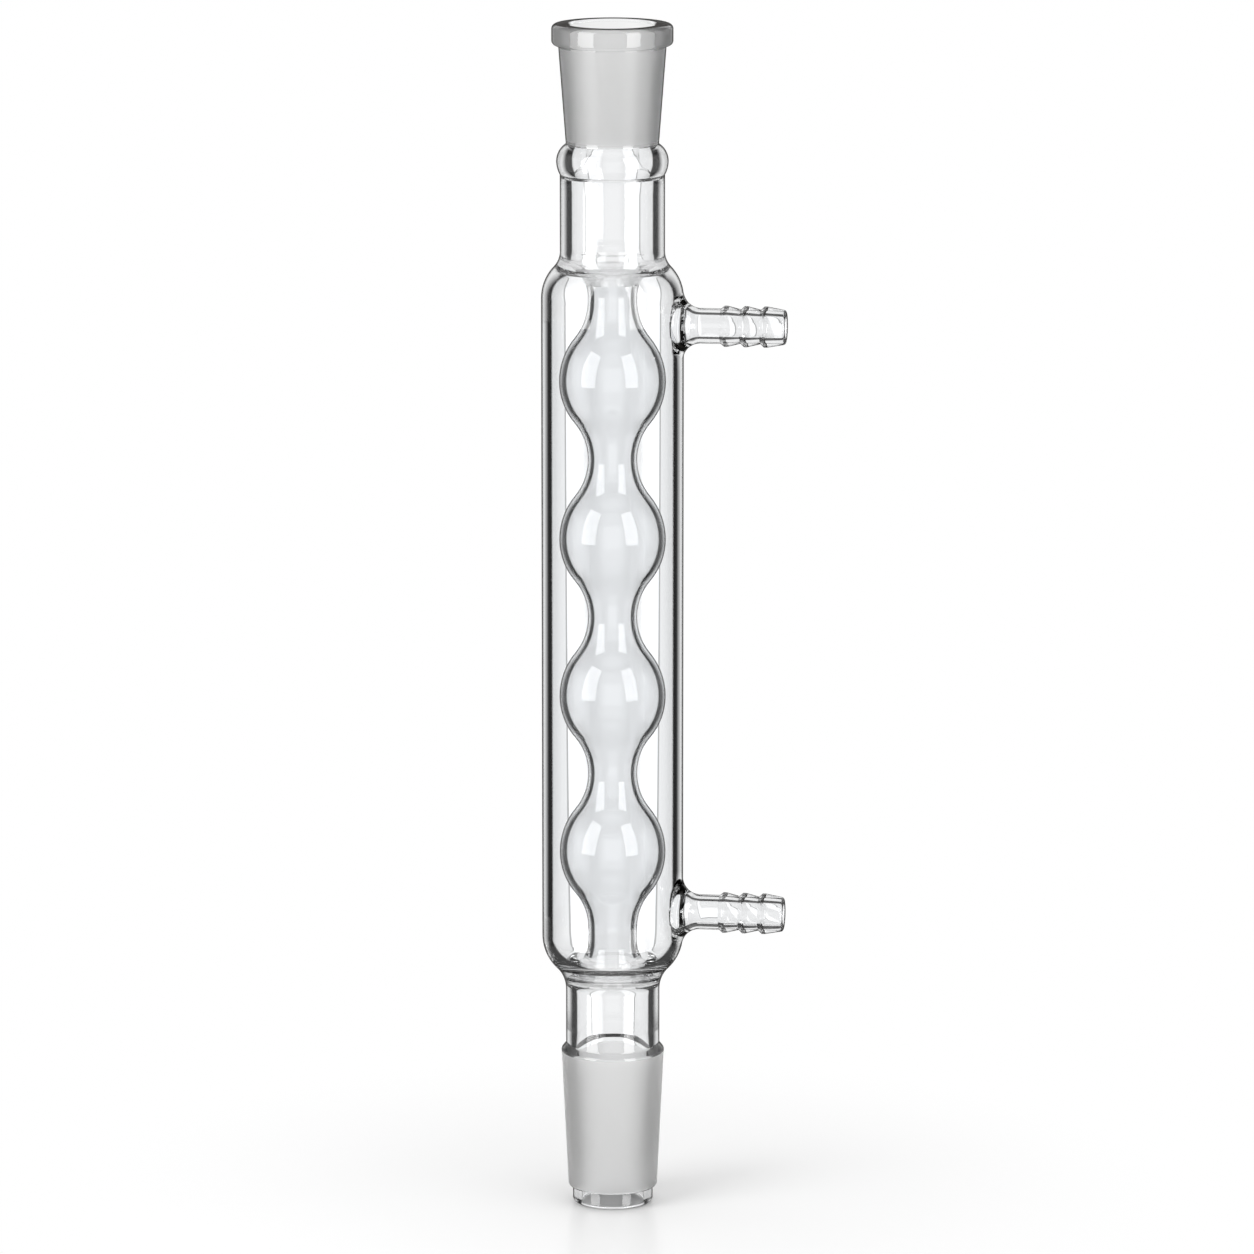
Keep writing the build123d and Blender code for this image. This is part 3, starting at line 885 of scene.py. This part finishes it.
def light_world(stage, room):
    """Even light for the floor, white for the camera, panels and dark corners for the glass."""
    world = bpy.data.worlds.new("studio room")
    nodes = Nodes(world)
    across, along, up = nodes.split(nodes.pick("ShaderNodeTexCoord", "Generated"))
    turned = turned_away(nodes, across, along, stage.azimuth)
    mirrored = nodes.pick("ShaderNodeLightPath", "Glossy Depth") > 0.5
    height = up.maths("ABSOLUTE")
    steep = nodes.ramp(height, room.steep_from, room.steep_to)
    top = nodes.ramp(height, room.top_from, room.top_to)
    walls = mirrored_room(nodes, room, turned) * (1 - steep) + steep * room.steep_glow + top * room.top_gain
    glow = seen_through(nodes, room, turned) * (1 - mirrored) + walls * mirrored
    camera = nodes.pick("ShaderNodeLightPath", "Is Camera Ray")
    diffuse = nodes.pick("ShaderNodeLightPath", "Is Diffuse Ray")
    glow = glow * (1 - diffuse) + diffuse * stage.ambient
    lit = nodes.add("ShaderNodeBackground", (), [glow * (1 - camera) + camera, 1.0])[0]
    nodes.add("ShaderNodeOutputWorld", (), {"Surface": lit})
    bpy.context.scene.world = world


def place(item, azimuth, elevation, distance, target):
    """Puts a lamp or camera round the target and turns it to face the target."""
    level = math.cos(elevation)
    away = Vector((math.sin(azimuth) * level, -math.cos(azimuth) * level, math.sin(elevation)))
    item.location = target + away * distance
    item.rotation_euler = away.to_track_quat("Z", "Y").to_euler()


def soft_lamp(scene, name, turn, elevation, width, height, glow):
    """A soft lamp out of the camera's sight."""
    stage, lamps = scene.condenser_stage, scene.condenser_lamps
    data = bpy.data.lights.new(name, "AREA")
    data.shape, data.size, data.size_y = "RECTANGLE", width, height
    data.energy = glow * math.pi * width * height
    lamp = bpy.data.objects.new(name, data)
    scene.collection.objects.link(lamp)
    target = Vector((0, 0, stage.look_height))
    place(lamp, stage.azimuth + turn, elevation, lamps.distance, target)
    lamp.visible_camera = False
    return lamp


def floor_lamp(scene, name, turn, elevation, side, glow):
    """A lamp that lights the floor and the ground glass only."""
    lamp = soft_lamp(scene, name, turn, elevation, side, side, glow)
    lamp.visible_glossy = lamp.visible_transmission = False


def glint_lamp(scene, name, turn, width):
    """A lamp that only shows as a glint, on the outermost faces and on the bulbs."""
    lamps = scene.condenser_lamps
    lamp = soft_lamp(
        scene, name, turn, lamps.glint_elevation, width, lamps.glint_height, lamps.glint_glow
    )
    lamp.visible_diffuse = False
    nodes = Nodes(lamp.data)
    depth = nodes.pick("ShaderNodeLightPath", "Transmission Depth")
    outermost = 1 - (depth > 0.5)
    on_bulbs = (depth > lamps.bulb_faces - 0.5) * (1 - (depth > lamps.bulb_faces + 0.5))
    nodes.add("ShaderNodeOutputLight", (), {"Surface": nodes.lamp(outermost + on_bulbs)})


def set_camera(stage):
    """The camera at the picture's place."""
    data = bpy.data.cameras.new("picture camera")
    data.sensor_width = SENSOR
    data.lens = SENSOR * stage.focal / IMAGE_SIDE
    data.clip_start, data.clip_end = NEAREST, FURTHEST
    camera = bpy.data.objects.new("picture camera", data)
    bpy.context.scene.collection.objects.link(camera)
    place(camera, stage.azimuth, stage.elevation, stage.distance, Vector((0, 0, stage.look_height)))
    axes = camera.rotation_euler.to_matrix()
    camera.location += axes @ Vector((stage.look_right, stage.look_up, 0))
    bpy.context.scene.camera = camera


def set_render(scene):
    """Enough bounces for nested glass, and plain colours."""
    scene.view_settings.view_transform = "Standard"
    cycles = scene.cycles
    cycles.max_bounces = cycles.transmission_bounces = cycles.glossy_bounces = GLASS_BOUNCES
    cycles.transparent_max_bounces = CLEAR_BOUNCES
    cycles.caustics_reflective = cycles.caustics_refractive = False


class OBJECT_OT_condenser_glass(bpy.types.Operator):
    """Blows the whole condenser as one closed piece of glass"""

    bl_idname = "object.condenser_glass"
    bl_label = "Blow Glass"

    def execute(self, context):
        at = Layout(context.scene)
        body = spun_solid(vapour_way(outside(at), at), (0, 0, 1), at.fineness.sides)
        piece = as_object(body, "condenser")
        steps = [("UNION", arm_solid(at, height)) for height in at.arm_heights]
        steps += [("DIFFERENCE", port_solid(at, height)) for height in at.arm_heights]
        steps.append(("DIFFERENCE", spun_solid(water_space(at), (0, 0, 1), at.fineness.sides)))
        piece.data = combined(piece, steps)
        open_edges = smooth_shaded(piece.data, at.fineness.crease)
        if open_edges:
            raise RuntimeError(f"the glass has {open_edges} open edges")
        piece.data.materials.clear()
        piece.data.materials.append(glass_material(context.scene.condenser_finish))
        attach(piece, BODY)
        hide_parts(NODE)
        return {"FINISHED"}


class SCENE_OT_condenser_stage(bpy.types.Operator):
    """Lays the floor, the lamps, the world and the camera"""

    bl_idname = "scene.condenser_stage"
    bl_label = "Lay Stage"

    def execute(self, context):
        scene = context.scene
        stage, room, lamps = scene.condenser_stage, scene.condenser_room, scene.condenser_lamps
        lay_floor(stage, room)
        light_world(stage, room)
        glint_lamp(scene, "left glint", lamps.left_turn, lamps.left_width)
        glint_lamp(scene, "right glint", lamps.right_turn, lamps.right_width)
        floor_lamp(scene, "key lamp", lamps.key_turn, lamps.key_elevation, lamps.key_side, lamps.key_glow)
        floor_lamp(
            scene, "fill lamp", lamps.fill_turn, lamps.fill_elevation, lamps.fill_side, lamps.fill_glow
        )
        set_camera(stage)
        set_render(scene)
        return {"FINISHED"}


class VIEW3D_PT_condenser(bpy.types.Panel):
    """Lists the condenser's operators and sizes"""

    bl_label = "Condenser"
    bl_idname = "VIEW3D_PT_condenser"
    bl_space_type = "VIEW_3D"
    bl_region_type = "UI"
    bl_category = "Condenser"

    def draw(self, context):
        layout = self.layout
        layout.operator(OBJECT_OT_condenser_glass.bl_idname)
        layout.operator(SCENE_OT_condenser_stage.bl_idname)
        for name in GROUPS:
            box = layout.box()
            group = getattr(context.scene, name)
            for prop in group.bl_rna.properties:
                if prop.identifier not in ("rna_type", "name"):
                    box.prop(group, prop.identifier)


CLASSES = (*GROUPS.values(), OBJECT_OT_condenser_glass, SCENE_OT_condenser_stage, VIEW3D_PT_condenser)


def register():
    """Registers the classes and their settings."""
    for item in CLASSES:
        bpy.utils.register_class(item)
    for name, group in GROUPS.items():
        setattr(bpy.types.Scene, name, bpy.props.PointerProperty(type=group))


def unregister():
    """Removes the settings and the classes."""
    for name in GROUPS:
        delattr(bpy.types.Scene, name)
    for item in reversed(CLASSES):
        bpy.utils.unregister_class(item)


def main():
    """Builds the piece and its stage."""
    register()
    bpy.ops.object.condenser_glass()
    bpy.ops.scene.condenser_stage()


if __name__ == "__main__":
    main()
